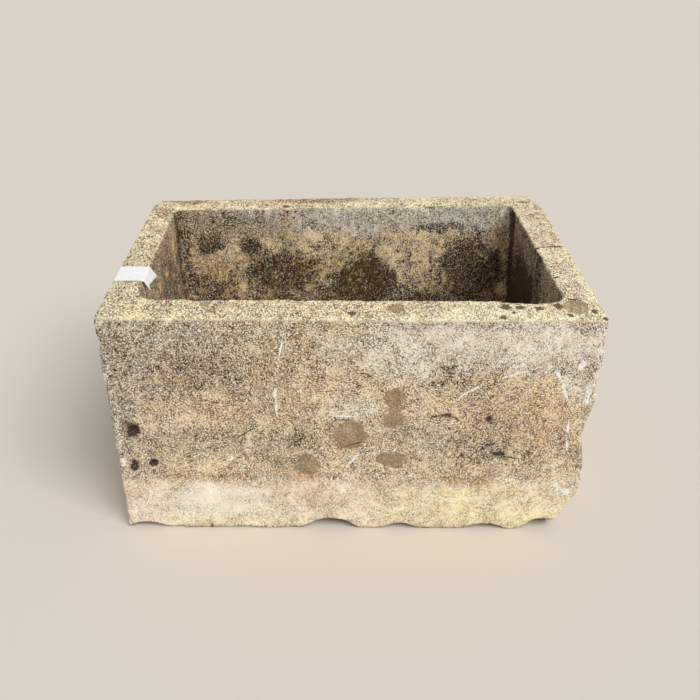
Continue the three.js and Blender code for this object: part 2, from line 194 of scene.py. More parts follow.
def relief_tree():
    """The worked skin: every point is moved along its normal, as much out of the stone as into it."""
    tree = bpy.data.node_groups.new("hewn_relief", "GeometryNodeTree")
    tree.interface.new_socket("Geometry", in_out="INPUT", socket_type="NodeSocketGeometry")
    for name, size in (*RELIEF_SIZES.items(), ("Seed", RELIEF_SEED)):
        made = tree.interface.new_socket(name, in_out="INPUT", socket_type="NodeSocketFloat")
        made.default_value = size
    tree.interface.new_socket("Stone", in_out="INPUT", socket_type="NodeSocketMaterial")
    tree.interface.new_socket("Geometry", in_out="OUTPUT", socket_type="NodeSocketGeometry")
    given = tree.nodes.new("NodeGroupInput").outputs
    position = node(tree, "GeometryNodeInputPosition")
    normal = node(tree, "GeometryNodeInputNormal")
    x, y, z = node(tree, "ShaderNodeSeparateXYZ", {0: position}).node.outputs

    def seed(step):
        """The seed, moved on by a step."""
        return calc(tree, "ADD", given["Seed"], step)

    def lumps(kind, width, where):
        """One of the skin's noises, drawn at a width."""
        detail, roughness, step = SKIN_NOISES[kind]
        return cloud(tree, where, given[width], detail, roughness, seed(step))

    def spots(width, share, edge, middle, step):
        """Pits or pockets, scattered at a width."""
        return scatter(tree, position, given[width], share, edge, middle, seed(step))

    above_floor = calc(tree, "GREATER_THAN", z, HOLLOW_FLOOR)
    hollow_x = within(tree, x, HOLLOW_MIDDLE.x, HOLLOW_REACH.x)
    hollow_y = within(tree, y, HOLLOW_MIDDLE.y, HOLLOW_REACH.y)
    inside = product(tree, hollow_x, hollow_y, above_floor)
    calm_on_rim = ramp(tree, z, *(high.z - below for below in RIM_EDGE), 1.0, RIM_CALM)
    calm_inside = ramp(tree, inside, 0.0, 1.0, 1.0, HOLLOW_CALM)
    off_ground = ramp(tree, z, *GROUND_EDGE)
    full = product(tree, given["Fullness"], calm_on_rim, calm_inside, off_ground)

    swell = product(tree, lumps("swell", "Swell Width", position), given["Swell Depth"], calm_on_rim)
    grain = product(tree, lumps("grain", "Grain Width", position), given["Grain Depth"], calm_inside)
    shelly = ramp(tree, lumps("shells", "Swell Width", position), *SKIN_EDGES["shells"])
    pits = product(tree, spots("Pit Width", *PITS), shelly, given["Pit Depth"])
    pockets = product(tree, spots("Pocket Width", *POCKETS), given["Pocket Depth"])
    pitted = total(tree, pits, pockets)
    long_share = calc(tree, "DIVIDE", given["Streak Width"], given["Streak Length"])
    streak = lumps("streak", "Streak Width", stretch(tree, position, 1.0, long_share))
    streak = ramp(tree, streak, *SKIN_EDGES["streak"])
    streak = product(tree, streak, given["Streak Depth"], inside)
    arris = calc(tree, "MAXIMUM", bulge(tree, ARRIS_STEPS), 0.0)
    crumbs = ramp(tree, lumps("crumbs", "Crumble Width", position), *SKIN_EDGES["crumbs"])
    crumbled = product(tree, arris, crumbs, given["Crumble Share"])
    chips = ramp(tree, lumps("chips", "Chip Width", position), *SKIN_EDGES["chips"])
    chipped = product(tree, chips, ramp(tree, arris, *CHIPPED_ARRIS), given["Chip Depth"], calm_on_rim)
    depth = total(tree, swell, grain, pitted, streak, crumbled, chipped)
    offset = {0: normal, "Scale": calc(tree, "SUBTRACT", full, depth)}
    offset = node(tree, "ShaderNodeVectorMath", offset, operation="SCALE")
    ragged = calc(tree, "SUBTRACT", lumps("stain", "Stain Width", position), 0.5)

    skin = given["Geometry"]
    for name, value in {"inside": inside, "arris": arris, "ragged": ragged}.items():
        skin = store(tree, skin, name, value)
    skin = node(tree, "GeometryNodeSetPosition", {"Geometry": skin, "Offset": offset})
    skin = store(tree, skin, "proud", bulge(tree, PROUD_STEPS))
    skin = node(tree, "GeometryNodeRealizeInstances", {"Geometry": skin})
    skin = node(tree, "GeometryNodeSetMaterial", {"Geometry": skin, "Material": given["Stone"]})
    tree.links.new(skin, tree.nodes.new("NodeGroupOutput").inputs["Geometry"])
    return tree


def placed(name, mesh):
    """An object of a mesh, put into the scene."""
    made = bpy.data.objects.new(name, mesh)
    bpy.context.scene.collection.objects.link(made)
    return made


def joined_copy(cad_node, name):
    """A copy of a CAD node whose loose triangles are joined into one skin."""
    work = bmesh.new()
    work.from_mesh(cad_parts[cad_node].data)
    bmesh.ops.remove_doubles(work, verts=work.verts, dist=WELD)
    mesh = bpy.data.meshes.new(name)
    work.to_mesh(mesh)
    work.free()
    return placed(name, mesh)


def worked_stone(material):
    """The block with its worked skin: an even fine skin, the relief, then fewer faces where it is flat."""
    block = joined_copy("trough_block", "trough_stone")
    remesh = block.modifiers.new("even skin", "REMESH")
    remesh.mode = "VOXEL"
    remesh.voxel_size = SKIN_STEP
    relief = block.modifiers.new("hewn relief", "NODES")
    relief.node_group = relief_tree()
    for item in relief.node_group.interface.items_tree:
        if item.in_out == "INPUT" and item.name in RELIEF_SIZES:
            relief[item.identifier] = RELIEF_SIZES[item.name]
        elif item.in_out == "INPUT" and item.name == "Stone":
            relief[item.identifier] = material
    decimate = block.modifiers.new("fewer faces", "DECIMATE")
    decimate.ratio = 1.0
    shaped = block.evaluated_get(bpy.context.evaluated_depsgraph_get())
    faces = sum(len(p.vertices) - 2 for p in shaped.data.polygons)
    decimate.ratio = min(1.0, KEPT_FACES / faces)
    bpy.context.view_layer.update()
    shaped = block.evaluated_get(bpy.context.evaluated_depsgraph_get())
    mesh = bpy.data.meshes.new_from_object(shaped)
    block.modifiers.clear()
    block.data = mesh
    mesh.shade_smooth()
    return block


# The stone block: its stains
# What weather, earth and water left on each face: soft patches of tone, and layers of rust, soot and
# pale bloom that break up along the grain. Painted shade is laid in too: dark on the faces turned
# down, and on the hollow's inner right wall, darker at its back than at its front.
FOOT_LINE = 0.122
FOOT_BLEND = 0.007
FOOT_RAGGED = 0.08
FOOT_CALM = 0.30
FOOT_CALM_FADE = 0.03
RIM_BAND = (0.0040, 0.0020)
RIM_RAGGED = 0.005
BACK_WALL_FROM = 0.18
LEFT_WALL_TO = -0.32
RIGHT_WALL_FROM = 0.31
# Heights between which damp earth and soot come in towards the hollow's floor.
EARTH_FADE = (0.26, 0.14)
DEEP_SOOT_FADE = (0.20, 0.12)
DEEP_SOOT = 0.8
# How far a face has to turn down to be the underside, which is laid dark as painted shade, and out
# to be an upright one.
UNDER_TILT = (-0.30, -0.6)
UPRIGHT = 0.5
# Where a patch starts and is whole, counted in its own reach, and how ragged its edge is.
PATCH_FADE = (1.3, 0.6)
PATCH_RAGGED = 1.4
# Layers are kept apart from the tones, and the grain breaks them up. Calm only quietens the grain.
LAYERS = ("rust", "soot_and_shade", "bloom", "calm")
# Tones as a screen shows them, up to 255 in red, green and blue, and the screen's curve back to light.
TONE_TOP = 255
CURVE_KNEE = 0.04045
CURVE_SLOPE = 12.92
CURVE_OFFSET = 0.055
CURVE_POWER = 2.4
TONES = {
    "buff": (223, 204, 164), "smoke": (154, 141, 124), "umber": (172, 148, 114), "ash": (236, 235, 230),
    "olive": (192, 176, 142), "fawn": (222, 190, 146), "chalk": (252, 247, 236), "cream": (255, 244, 214),
    "straw": (255, 244, 190), "blush": (248, 232, 216), "rim": (240, 221, 172), "moss": (208, 188, 146),
    "ochre": (226, 196, 138), "slate": (220, 226, 229), "earth": (120, 95, 60), "shaded_peat": (54, 40, 24),
    "underside_shade": (84, 70, 54), "sand": (254, 232, 186), "tan": (172, 138, 90), "dusk": (136, 124, 106),
    "peach": (206, 178, 136), "rose": (200, 172, 136), "lemon": (255, 246, 202), "lilac": (208, 202, 198),
    "lit_loam": (142, 120, 88),
}
# A row holds a tone or layer, its middle across and up the face, its reach each way, and its strength.
FRONT_STAINS = [
    ("smoke", -0.330, 0.365, 0.180, 0.090, 1.0), ("smoke", -0.390, 0.280, 0.035, 0.130, 0.9),
    ("umber", -0.250, 0.330, 0.060, 0.040, 0.8), ("umber", -0.120, 0.375, 0.080, 0.045, 0.8),
    ("umber", -0.190, 0.315, 0.070, 0.030, 0.6), ("fawn", -0.190, 0.255, 0.130, 0.035, 0.6),
    ("ash", 0.230, 0.385, 0.240, 0.055, 1.0), ("ash", 0.370, 0.330, 0.070, 0.060, 0.9),
    ("ash", 0.090, 0.345, 0.080, 0.030, 0.5), ("fawn", 0.275, 0.255, 0.110, 0.080, 1.0),
    ("umber", 0.200, 0.300, 0.050, 0.030, 0.6), ("olive", 0.150, 0.190, 0.130, 0.045, 0.9),
    ("smoke", 0.125, 0.215, 0.050, 0.045, 0.5), ("smoke", -0.240, 0.195, 0.190, 0.030, 0.6),
    ("smoke", -0.160, 0.423, 0.300, 0.012, 0.6), ("lilac", 0.230, 0.422, 0.210, 0.012, 0.8),
    ("ash", 0.010, 0.262, 0.050, 0.022, 0.7), ("smoke", -0.080, 0.225, 0.020, 0.030, 0.5),
    ("chalk", -0.245, 0.070, 0.100, 0.040, 1.0), ("blush", -0.375, 0.075, 0.050, 0.090, 0.9),
    ("blush", -0.020, 0.075, 0.110, 0.050, 0.6), ("straw", 0.240, 0.050, 0.200, 0.060, 1.0),
    ("calm", -0.245, 0.070, 0.100, 0.040, 0.55), ("calm", 0.250, 0.390, 0.160, 0.040, 0.2),
    ("rust", 0.000, 0.200, 0.600, 0.300, 0.12), ("rust", -0.030, 0.070, 0.110, 0.045, 0.3),
    ("rust", -0.070, 0.072, 0.022, 0.034, 0.55), ("rust", -0.120, 0.098, 0.060, 0.018, 0.44),
    ("rust", 0.110, 0.098, 0.050, 0.016, 0.32),
    ("rust", 0.205, 0.112, 0.060, 0.018, 0.6), ("rust", -0.250, 0.117, 0.100, 0.013, 0.55),
    ("rust", -0.085, 0.128, 0.060, 0.022, 0.5), ("rust", 0.290, 0.245, 0.090, 0.060, 0.25),
    ("soot_and_shade", -0.395, 0.330, 0.024, 0.080, 0.26), ("bloom", -0.400, 0.300, 0.012, 0.110, 0.42),
    ("bloom", -0.400, 0.185, 0.014, 0.050, 0.55), ("smoke", -0.188, 0.124, 0.018, 0.012, 0.8),
    ("soot_and_shade", 0.165, 0.330, 0.045, 0.020, 0.34), ("soot_and_shade", -0.085, 0.200, 0.030, 0.030, 0.3),
    ("soot_and_shade", -0.270, 0.340, 0.100, 0.040, 0.22), ("soot_and_shade", 0.230, 0.180, 0.060, 0.030, 0.24),
]
SIDE_STAINS = [
    ("smoke", -0.120, 0.330, 0.140, 0.090, 0.7), ("ash", 0.150, 0.300, 0.100, 0.070, 0.7),
    ("olive", 0.060, 0.200, 0.160, 0.040, 0.8), ("fawn", -0.060, 0.240, 0.090, 0.050, 0.6),
    ("chalk", 0.120, 0.060, 0.090, 0.040, 0.8), ("straw", -0.130, 0.070, 0.100, 0.050, 0.8),
    ("rust", -0.020, 0.118, 0.090, 0.018, 0.48), ("soot_and_shade", 0.220, 0.350, 0.040, 0.060, 0.36),
]
BACK_STAINS = [
    ("smoke", 0.220, 0.340, 0.180, 0.090, 0.7), ("umber", -0.180, 0.350, 0.140, 0.060, 0.6),
    ("ash", -0.020, 0.300, 0.150, 0.060, 0.7), ("olive", 0.080, 0.200, 0.240, 0.040, 0.8),
    ("fawn", -0.260, 0.230, 0.100, 0.070, 0.8), ("chalk", 0.190, 0.070, 0.140, 0.045, 0.8),
    ("straw", -0.160, 0.060, 0.180, 0.050, 0.8), ("rust", 0.020, 0.120, 0.180, 0.020, 0.48),
]
BACK_WALL_STAINS = [
    ("dusk", -0.250, 0.420, 0.170, 0.060, 1.0), ("slate", 0.130, 0.428, 0.330, 0.062, 1.0),
    ("slate", -0.060, 0.428, 0.120, 0.035, 0.7), ("sand", 0.135, 0.320, 0.070, 0.070, 1.0),
    ("sand", -0.080, 0.350, 0.090, 0.030, 0.8), ("sand", -0.250, 0.345, 0.030, 0.030, 0.6),
    ("soot_and_shade", -0.348, 0.310, 0.018, 0.140, 0.7), ("soot_and_shade", -0.290, 0.352, 0.030, 0.026, 0.85),
    ("soot_and_shade", -0.205, 0.348, 0.025, 0.024, 0.85), ("soot_and_shade", -0.140, 0.285, 0.090, 0.055, 0.85),
    ("soot_and_shade", 0.035, 0.265, 0.075, 0.065, 1.0), ("soot_and_shade", 0.265, 0.280, 0.080, 0.085, 0.86),
    ("soot_and_shade", 0.000, 0.170, 0.420, 0.090, 0.82), ("soot_and_shade", 0.195, 0.384, 0.055, 0.014, 0.7),
    ("soot_and_shade", -0.300, 0.240, 0.070, 0.060, 0.7), ("soot_and_shade", 0.000, 0.270, 0.400, 0.090, 0.3),
    ("soot_and_shade", -0.250, 0.415, 0.150, 0.050, 0.26), ("sand", 0.300, 0.330, 0.030, 0.020, 0.7),
]
LEFT_WALL_STAINS = [
    ("sand", 0.145, 0.350, 0.014, 0.100, 0.7), ("soot_and_shade", 0.195, 0.330, 0.014, 0.140, 0.9),
    ("soot_and_shade", 0.080, 0.280, 0.130, 0.120, 0.6), ("earth", -0.120, 0.300, 0.080, 0.080, 0.5),
]
# The inner right wall's rows are stains and painted shade: its far part darker and its near part lighter,
# with the edge of a painted shadow between them.
RIGHT_WALL_STAINS_AND_SHADE = [
    ("lit_loam", 0.120, 0.410, 0.080, 0.060, 0.8), ("lit_loam", -0.150, 0.350, 0.100, 0.300, 1.0),
    ("soot_and_shade", 0.070, 0.240, 0.130, 0.160, 1.3), ("soot_and_shade", 0.195, 0.330, 0.020, 0.200, 1.2),
    ("soot_and_shade", -0.030, 0.300, 0.024, 0.200, 0.8), ("soot_and_shade", -0.120, 0.200, 0.100, 0.080, 0.4),
]
RIM_STAINS = [
    ("moss", -0.380, -0.100, 0.050, 0.200, 0.8), ("moss", -0.100, -0.240, 0.120, 0.030, 0.6),
    ("rose", -0.225, -0.220, 0.060, 0.022, 0.9), ("rose", 0.375, -0.120, 0.045, 0.100, 0.9),
    ("peach", 0.372, 0.120, 0.045, 0.110, 1.0), ("lemon", 0.240, -0.258, 0.170, 0.024, 1.0),
    ("rust", -0.250, 0.268, 0.060, 0.014, 0.6), ("lemon", 0.150, 0.255, 0.260, 0.018, 0.9),
    ("lemon", 0.398, -0.180, 0.010, 0.120, 0.9), ("rust", 0.130, -0.225, 0.050, 0.012, 0.3),
    ("rust", 0.330, -0.250, 0.050, 0.020, 0.3), ("peach", 0.110, -0.235, 0.060, 0.020, 0.8),
    ("rust", -0.335, 0.260, 0.040, 0.022, 1.0), ("rust", -0.060, 0.262, 0.105, 0.024, 1.1),
    ("rust", -0.370, 0.190, 0.022, 0.030, 0.8), ("rust", -0.372, 0.105, 0.022, 0.020, 0.7),
    ("rust", 0.074, -0.235, 0.016, 0.016, 1.0), ("rust", 0.200, 0.255, 0.200, 0.014, 0.35),
    ("smoke", 0.000, -0.255, 0.080, 0.018, 0.15), ("umber", -0.395, -0.262, 0.020, 0.020, 0.8),
    ("calm", 0.375, 0.010, 0.050, 0.230, 0.22), ("calm", 0.250, -0.245, 0.170, 0.040, 0.2),
]


def linear(tone):
    """A named tone as the amount of light that it gives back in red, green and blue."""
    share = np.array(TONES[tone]) / TONE_TOP
    curved = ((share + CURVE_OFFSET) / (1 + CURVE_OFFSET)) ** CURVE_POWER
    return np.where(share <= CURVE_KNEE, share / CURVE_SLOPE, curved)


def rise(start, end, value):
    """Runs smoothly from 0 to 1 as the value passes from start to end."""
    share = np.clip((value - start) / (end - start), 0, 1)
    return share * share * (3 - 2 * share)


def read(mesh, name):
    """A number kept at each point of the skin."""
    values = np.zeros(len(mesh.vertices), np.float32)
    mesh.attributes[name].data.foreach_get("value", values)
    return values


def stain(mesh):
    """Paints the tone and the layers at each point of the skin."""
    count = len(mesh.vertices)
    place = np.zeros(count * 3, np.float32)
    facing = np.zeros(count * 3, np.float32)
    mesh.vertices.foreach_get("co", place)
    mesh.vertices.foreach_get("normal", facing)
    x, y, z = place.reshape(-1, 3).T
    facing_x, facing_y, facing_z = facing.reshape(-1, 3).T
    ragged, inside = read(mesh, "ragged"), read(mesh, "inside")
    rim = rise(*(high.z - below for below in RIM_BAND), z + RIM_RAGGED * ragged)
    wall = (1 - inside) * (1 - rim)
    shaded_underside = wall * rise(*UNDER_TILT, facing_z)
    hollow = inside * (1 - rim)
    back_wall = hollow * (y > BACK_WALL_FROM) * (np.abs(facing_y) > UPRIGHT)
    left_wall = hollow * (x < LEFT_WALL_TO) * (back_wall < 0.5)
    right_wall = hollow * (x > RIGHT_WALL_FROM) * (back_wall < 0.5)
    tones = np.tile(linear("buff"), (count, 1))
    layers = {name: np.zeros(count) for name in LAYERS}

    def cover(tone, weight):
        """Lays a tone over the skin by a weight at each point."""
        tones[:] += (linear(tone) - tones) * weight[:, None]

    def paint(rows, share, across, up):
        """Lays a face's rows, each a soft patch with a ragged edge."""
        for name, middle, height, reach, tall, strength in rows:
            away = np.hypot((across - middle) / reach, (up - height) / tall) + PATCH_RAGGED * ragged
            weight = strength * share * rise(*PATCH_FADE, away)
            if name in layers:
                layers[name] = np.maximum(layers[name], weight)
            else:
                cover(name, weight)

    foot = rise(FOOT_LINE + FOOT_BLEND, FOOT_LINE - FOOT_BLEND, z + FOOT_RAGGED * ragged)
    cover("cream", wall * foot)
    paint(FRONT_STAINS, wall * (facing_y < -UPRIGHT), x, z)
    paint(SIDE_STAINS, wall * (facing_x < -UPRIGHT), y, z)
    paint(SIDE_STAINS, wall * (facing_x > UPRIGHT), -y, z)
    paint(BACK_STAINS, wall * (facing_y > UPRIGHT), -x, z)
    # Painted shade: the faces turned down are laid in a dark tone.
    cover("underside_shade", shaded_underside)
    cover("rim", rim)
    paint(RIM_STAINS, rim, x, y)
    cover("ochre", hollow)
    cover("tan", left_wall)
    # The inner right wall: a dark tone of its own, deepened with painted shade.
    cover("shaded_peat", right_wall)
    cover("earth", hollow * rise(*EARTH_FADE, z))
    paint(BACK_WALL_STAINS, back_wall, x, z)
    paint(LEFT_WALL_STAINS, left_wall, y, z)
    paint(RIGHT_WALL_STAINS_AND_SHADE, right_wall, y, z)
    deep_soot = DEEP_SOOT * hollow * rise(*DEEP_SOOT_FADE, z)
    calm_foot = FOOT_CALM * wall * rise(FOOT_LINE, FOOT_LINE - FOOT_CALM_FADE, z)
    layers["soot_and_shade"] = np.maximum(layers["soot_and_shade"], deep_soot)
    layers["calm"] = np.maximum(layers["calm"], calm_foot)
    layers["streaked"] = np.maximum(left_wall, right_wall)
    layers["rim"] = rim
    layers["face"] = wall
    colours = mesh.attributes.new("tone", "FLOAT_COLOR", "POINT")
    colours.data.foreach_set("color", np.column_stack([tones, np.ones(count)]).astype(np.float32).ravel())
    for name, values in layers.items():
        made = mesh.attributes.new(name, "FLOAT", "POINT")
        made.data.foreach_set("value", values.astype(np.float32))


# The stone block: its marks
# Brown pebbles caught in the stone, black pores, fine cracks, and the pale scratches and bruises of
# handling. Along a ridge by the right arris, the pale strokes are painted highlight as well.
MARK_INSET = 0.010
MARK_DEPTH = 0.030
MARK_FIELD = 1.6
# A row gives a mark's middle on its face, its half sizes and its lean in degrees. A scratch or crack
# gives its two ends and its half width.
FRONT_PEBBLES = [
    (0.073, 0.287, 0.0165, 0.016, 0), (0.074, 0.265, 0.012, 0.020, 0),
    (0.072, 0.241, 0.019, 0.016, 0), (-0.004, 0.210, 0.028, 0.027, 0),
    (-0.075, 0.148, 0.020, 0.019, 0), (0.066, 0.160, 0.021, 0.013, 0),
    (0.078, 0.158, 0.022, 0.015, 0),
]
RIM_PEBBLES = [
    (0.361, -0.235, 0.021, 0.023, 0), (0.074, -0.235, 0.0125, 0.013, 0),
    (-0.234, -0.216, 0.010, 0.009, 0),
]
RIM_FLAKES = [
    (0.249, -0.234, 0.009, 0.010, -20), (0.271, -0.234, 0.008, 0.008, 20),
    (0.302, -0.238, 0.009, 0.008, 0), (0.258, -0.253, 0.004, 0.005, 0),
    (0.239, -0.269, 0.006, 0.007, 0), (0.398, -0.273, 0.006, 0.006, 0),
    (0.002, -0.251, 0.006, 0.008, 0), (0.333, -0.231, 0.007, 0.012, 0),
    (-0.127, 0.225, 0.007, 0.009, 0), (0.386, -0.250, 0.004, 0.008, 0),
    (0.345, -0.262, 0.005, 0.005, 0),
]
BACK_WALL_HOLES = [
    (0.209, 0.298, 0.008, 0.007, 0), (0.182, 0.284, 0.005, 0.005, 0),
    (0.309, 0.262, 0.010, 0.006, 15), (-0.060, 0.345, 0.006, 0.005, 0),
    (-0.215, 0.400, 0.005, 0.004, 0),
]
FRONT_PORES = [
    (-0.3696, 0.2142, 0.0155, 0.0115, 20), (-0.3772, 0.1391, 0.0085, 0.009, 0),
    (-0.3423, 0.1465, 0.0092, 0.0068, 0), (0.1586, 0.2506, 0.010, 0.0048, 0),
    (0.2307, 0.2442, 0.005, 0.008, 0), (0.2528, 0.1718, 0.011, 0.0065, 0),
    (0.1902, 0.1676, 0.0042, 0.003, 0),
]
SCRATCHES_AND_HIGHLIGHTS = [
    (-0.1049, 0.4105, -0.1148, 0.3628, 0.0017), (-0.1237, 0.3094, -0.1243, 0.2799, 0.0026),
    (-0.1243, 0.282, -0.123, 0.246, 0.0023), (-0.058, 0.405, -0.047, 0.393, 0.0013),
    (0.172, 0.282, 0.195, 0.300, 0.0019), (0.193, 0.299, 0.218, 0.313, 0.0017),
    (0.240, 0.323, 0.273, 0.336, 0.0019), (0.271, 0.335, 0.304, 0.346, 0.0017),
    # The strokes from 0.328 to 0.370 across, by the right arris, are pale scratches and also a painted
    # highlight on a raised ridge there.
    (0.328, 0.345, 0.343, 0.318, 0.0032), (0.342, 0.320, 0.357, 0.283, 0.0032),
    (0.364, 0.247, 0.365, 0.201, 0.002), (0.365, 0.203, 0.370, 0.176, 0.002),
    (0.358, 0.119, 0.367, 0.076, 0.002), (-0.280, 0.045, -0.286, 0.005, 0.0019),
    (-0.030, 0.249, 0.012, 0.248, 0.0017), (-0.010, 0.138, 0.019, 0.178, 0.0026),
]
CRACKS = [
    (0.134, 0.247, 0.150, 0.2515, 0.0015), (0.169, 0.250, 0.183, 0.2395, 0.0015),
    (0.265, 0.1665, 0.288, 0.161, 0.0015), (-0.010, 0.186, 0.002, 0.190, 0.0014),
    (0.001, 0.190, 0.026, 0.197, 0.0013), (-0.252, 0.012, -0.251, -0.002, 0.0017),
    (-0.190, 0.204, -0.174, 0.216, 0.0014), (-0.175, 0.215, -0.163, 0.223, 0.0013),
]
RIM_CRACKS = [
    (0.343, -0.003, 0.354, 0.004, 0.0028), (0.353, 0.004, 0.370, 0.008, 0.0026),
    (0.368, 0.008, 0.401, 0.006, 0.0028), (0.348, -0.127, 0.360, -0.121, 0.0024),
    (0.350, -0.206, 0.374, -0.206, 0.0026), (0.353, 0.243, 0.384, 0.242, 0.003),
    (0.363, 0.171, 0.380, 0.171, 0.0024),
]
BRUISES = [
    (0.376, 0.089, 0.011, 0.008, 0), (-0.015, 0.088, 0.007, 0.005, 0),
    (0.388, 0.290, 0.005, 0.016, 10), (0.372, 0.352, 0.006, 0.012, -20),
    (-0.208, 0.159, 0.006, 0.005, 0), (-0.396, 0.149, 0.006, 0.010, 0),
]
ARRIS_CHIPS = (-0.223, -0.146)
ARRIS_CHIP = (0.007, 0.015, 0.008)
ARRIS_DROP = 0.003


def stroke(start_across, start_up, end_across, end_up, half_width):
    """A stroke between two places on a face, as a long thin mark."""
    across, up = end_across - start_across, end_up - start_up
    middle = (start_across + across / 2, start_up + up / 2)
    return *middle, math.hypot(across, up) / 2, half_width, math.degrees(math.atan2(up, across))


def on_front(across, up, half_width, half_height, lean):
    """A mark on the front: its middle, its reach along X, Y and Z, and its turn."""
    middle = (across, low.y + MARK_INSET, up)
    return middle, (half_width, MARK_DEPTH, half_height), (0.0, -math.radians(lean), 0.0)


def on_rim(across, back, half_width, half_depth, lean):
    """A mark on the rim: its middle, its reach along X, Y and Z, and its turn."""
    return (across, back, high.z), (half_width, half_depth, MARK_DEPTH), (0.0, 0.0, math.radians(lean))


def on_back_wall(across, up, half_width, half_height, lean):
    """A mark on the hollow's back wall: its middle, its reach along X, Y and Z, and its turn."""
    middle = (across, HOLLOW_MIDDLE.y + HOLLOW_REACH.y, up)
    return middle, (half_width, MARK_DEPTH, half_height), (0.0, -math.radians(lean), 0.0)


def nearest(tree, place, marks):
    """How far each point is from the nearest of some marks: 0 in the middle of one, 1 at its edge."""
    nearness = []
    for middle, reach, turn in marks:
        wide = tuple(MARK_FIELD * side for side in reach)
        inputs = {"Vector": place, "Location": middle, "Rotation": turn, "Scale": wide}
        own = node(tree, "ShaderNodeMapping", inputs, "Vector", vector_type="TEXTURE")
        fall = node(tree, "ShaderNodeTexGradient", {"Vector": own}, "Fac", gradient_type="SPHERICAL")
        nearness.append(fall)
    return product(tree, calc(tree, "SUBTRACT", 1.0, chain(tree, "MAXIMUM", nearness)), MARK_FIELD)


PEBBLES = [on_front(*row) for row in FRONT_PEBBLES] + [on_rim(*row) for row in RIM_PEBBLES]
FLAKES = [on_rim(*row) for row in RIM_FLAKES]
PORES = [on_front(*row) for row in FRONT_PORES] + [on_back_wall(*row) for row in BACK_WALL_HOLES]
CHIPS = [((across, low.y, high.z - ARRIS_DROP), ARRIS_CHIP, (0.0, 0.0, 0.0)) for across in ARRIS_CHIPS]
PALE_MARKS = [on_front(*stroke(*row)) for row in SCRATCHES_AND_HIGHLIGHTS] + [on_front(*row) for row in BRUISES] + CHIPS
DARK_LINES = [on_front(*stroke(*row)) for row in CRACKS] + [on_rim(*stroke(*row)) for row in RIM_CRACKS]


# The stone block: its grain
# Shelly limestone seen close: dark pores and cream grains of one to three millimetres crowd a buff
# ground, thickest in clusters; faint beds run level through it, pits are darker with dust and painted
# shade, and arrises worn pale.
GRIT = 0.0013
GRIT_RIM_SHARE = 0.6
GRAIN = 0.0028
CLUSTER = 0.012
DOT = 0.0060
DOT_SEED = 7.0
WARP = 0.010
FRET = 0.0020
BED_SHARE = 0.07
DRIP_SHARE = 0.18
BUMP_HEIGHT = 0.0030
# Each noise: its size, its detail, its roughness and its seed.
GRAIN_NOISE = (GRAIN, 1.0, 0.5, 1.0)
CLUSTER_NOISE = (CLUSTER, 3.0, 0.65, 2.0)
MOTTLE_NOISE = (0.034, 4.0, 0.65, 3.0)
DRIFT_NOISE = (0.075, 3.0, 0.6, 4.0)
BED_NOISE = (0.009, 3.0, 0.6, 5.0)
DRIP_NOISE = (0.012, 3.0, 0.6, 6.0)
# Scales of tints that multiply a colour, by the noise or the crowding that they follow.
MOTTLE_TINTS = [
    (0.32, (0.72, 0.68, 0.64)), (0.45, (0.94, 0.92, 0.90)), (0.56, (1.04, 1.03, 1.02)),
    (0.68, (1.18, 1.17, 1.14)),
]
DRIFT_TINTS = [(0.35, (0.78, 0.73, 0.66)), (0.50, (1.0, 1.0, 1.0)), (0.65, (1.14, 1.13, 1.07))]
BED_TINTS = [
    (0.32, (0.86, 0.85, 0.84)), (0.44, (1.0, 1.0, 1.0)), (0.60, (1.0, 1.0, 1.0)), (0.70, (1.06, 1.06, 1.05)),
]
DRIP_TINTS = [(0.38, (0.42, 0.36, 0.28)), (0.48, (0.92, 0.90, 0.87)), (0.60, (1.75, 1.66, 1.50))]
PORE_TINTS = [
    (0.10, (0.12, 0.065, 0.024)), (0.28, (0.38, 0.26, 0.14)), (0.42, (0.88, 0.81, 0.70)),
    (0.52, (1.0, 1.0, 1.0)),
]
RIM_TINTS = [
    (0.10, (0.15, 0.088, 0.036)), (0.28, (0.44, 0.31, 0.17)), (0.42, (0.92, 0.86, 0.75)),
    (0.52, (1.0, 1.0, 1.0)),
]
# The colours that are laid on.
GRAIN_CREAM = (0.95, 0.86, 0.68)
RIM_CREAM = (1.0, 0.94, 0.72)
HOLLOW_CREAM = (0.98, 0.86, 0.63)
RUST = (0.42, 0.215, 0.080)
STAIN_BROWN = (0.235, 0.155, 0.080)
SOOT_AND_SHADE = (0.085, 0.051, 0.023)
BLOOM = (0.88, 0.86, 0.80)
PORE = (0.046, 0.037, 0.029)
PORE_HALO = (0.210, 0.135, 0.075)
DARK_DOT = (0.075, 0.048, 0.026)
PEBBLE = (0.345, 0.240, 0.125)
PEBBLE_EDGE = (0.120, 0.080, 0.048)
FLAKE = (0.135, 0.082, 0.043)
CHALK = (0.95, 0.92, 0.84)
LICHEN = (0.90, 0.84, 0.62)
PIT_DUST_AND_SHADE = (0.10, 0.070, 0.042)
# How much of each noise goes into the edge of a layer: crumbly for rust and bloom, caked for soot
# and its painted shade.
CRUMBLY = {"grit": 0.24, "grain": 0.24, "cluster": 0.30, "mottle": 0.22}
CAKED = {"grit": 0.13, "grain": 0.20, "cluster": 0.37, "mottle": 0.30}
# How far noise pushes a layer's strength, then the strengths at which it begins and is whole. Below
# the floor's first strength nothing of it shows.
CRUMBLY_EDGE = (5.0, 0.46, 0.56)
SOOT_AND_SHADE_EDGE = (-6.0, 0.46, 0.55)
HALO_EDGE = (-6.0, 0.28, 0.38)
LAYER_FLOOR = (0.02, 0.15)
RUST_COVER = 0.88
HALO_COVER = 0.75
SOOT_AND_SHADE_COVER = 0.90
